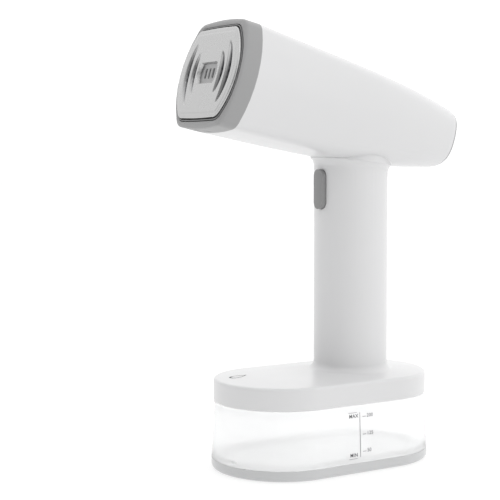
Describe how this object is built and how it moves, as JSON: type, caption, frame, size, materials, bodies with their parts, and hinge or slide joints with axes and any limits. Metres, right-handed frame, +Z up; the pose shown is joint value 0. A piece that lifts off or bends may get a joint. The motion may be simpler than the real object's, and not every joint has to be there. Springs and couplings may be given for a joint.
{
  "type": "garment steamer",
  "caption": "Handheld garment steamer: tapering barrel with a tilted steam plate on an upright handle with a trigger, standing on a clear lift-off water tank.",
  "frame": {"origin": "centre of the underside of the base tray", "axes": "+Z up, the steam plate faces -Y, +X to the left of someone who faces the plate's way"},
  "size_m": [0.0754, 0.1679, 0.2418],
  "materials": {
    "white_shell": "satin",
    "light_tray": "satin",
    "grey_plastic": "satin",
    "clear_plastic": "clear polycarbonate",
    "plain_plastic": "moulded",
    "black_plastic": "moulded",
    "pad_rubber": "matte",
    "seal_rubber": "silicone",
    "plate_metal": "polished aluminium alloy",
    "cast_metal": "cast",
    "steel": "zinc plated",
    "copper": "lacquered winding",
    "board": "circuit board",
    "ceramic_body": "matte",
    "relay_blue": "moulded",
    "wire_sleeve": "sleeve"
  },
  "bodies": {
    "tank_base": {"base_tray": "light_tray", "foot_pads": "pad_rubber", "tank": "clear_plastic"},
    "steamer": {"tank_cover": "white_shell", "cover_plate": "plain_plastic", "tank_seal": "seal_rubber", "cover_screws": "steel", "suction_tube": "plain_plastic", "suction_filter": "plain_plastic", "handle_shell": "white_shell", "barrel_shell": "white_shell", "bezel": "grey_plastic", "soleplate": "plate_metal", "trim_ring": "grey_plastic", "insulator": "black_plastic", "heat_shield": "steel", "steam_chamber": "cast_metal", "heating_element": "steel", "element_clamp": "steel", "chamber_screws": "steel", "thermostat": "ceramic_body", "thermal_fuse": "ceramic_body", "pump_body": "black_plastic", "pump_coil": "copper", "pump_spring": "steel", "suction_hose": "seal_rubber", "outlet_hose": "seal_rubber", "trigger_spring": "steel", "switch_bracket": "plain_plastic", "microswitch": "black_plastic", "board_carrier": "plain_plastic", "circuit_board": "board", "relay": "relay_blue", "terminal_block": "plain_plastic", "wiring": "wire_sleeve", "rear_cap": "white_shell", "cord_gland": "pad_rubber", "cord_clamp": "steel"},
    "trigger": {"trigger": "grey_plastic"},
    "lever": {"switch_lever": "steel"},
    "plunger": {"pump_plunger": "steel"}
  },
  "joints": [
    {"name": "unit_lift", "type": "slide", "parent": "tank_base", "child": "steamer", "axis": [0, 0, 1], "range_m": [0, 0.06]},
    {"name": "trigger_press", "type": "slide", "parent": "steamer", "child": "trigger", "axis": [0, 1, 0], "range_m": [0, 0.002], "stiffness_N_per_m": 600, "springref_m": -0.002, "deforming": ["trigger_spring"]},
    {"name": "lever_swing", "type": "hinge", "parent": "steamer", "child": "lever", "pos_m": [0, 0.0108, 0.1585], "axis": [1, 0, 0], "range_deg": [0, 17]},
    {"name": "plunger_stroke", "type": "slide", "parent": "steamer", "child": "plunger", "axis": [0, 0, 1], "range_m": [0, 0.003], "stiffness_N_per_m": 400, "springref_m": -0.002, "deforming": ["pump_spring"]}
  ],
  "couplings": [
    {"joint": "lever_swing", "follows": "trigger_press", "rad_per_m": 142}
  ]
}
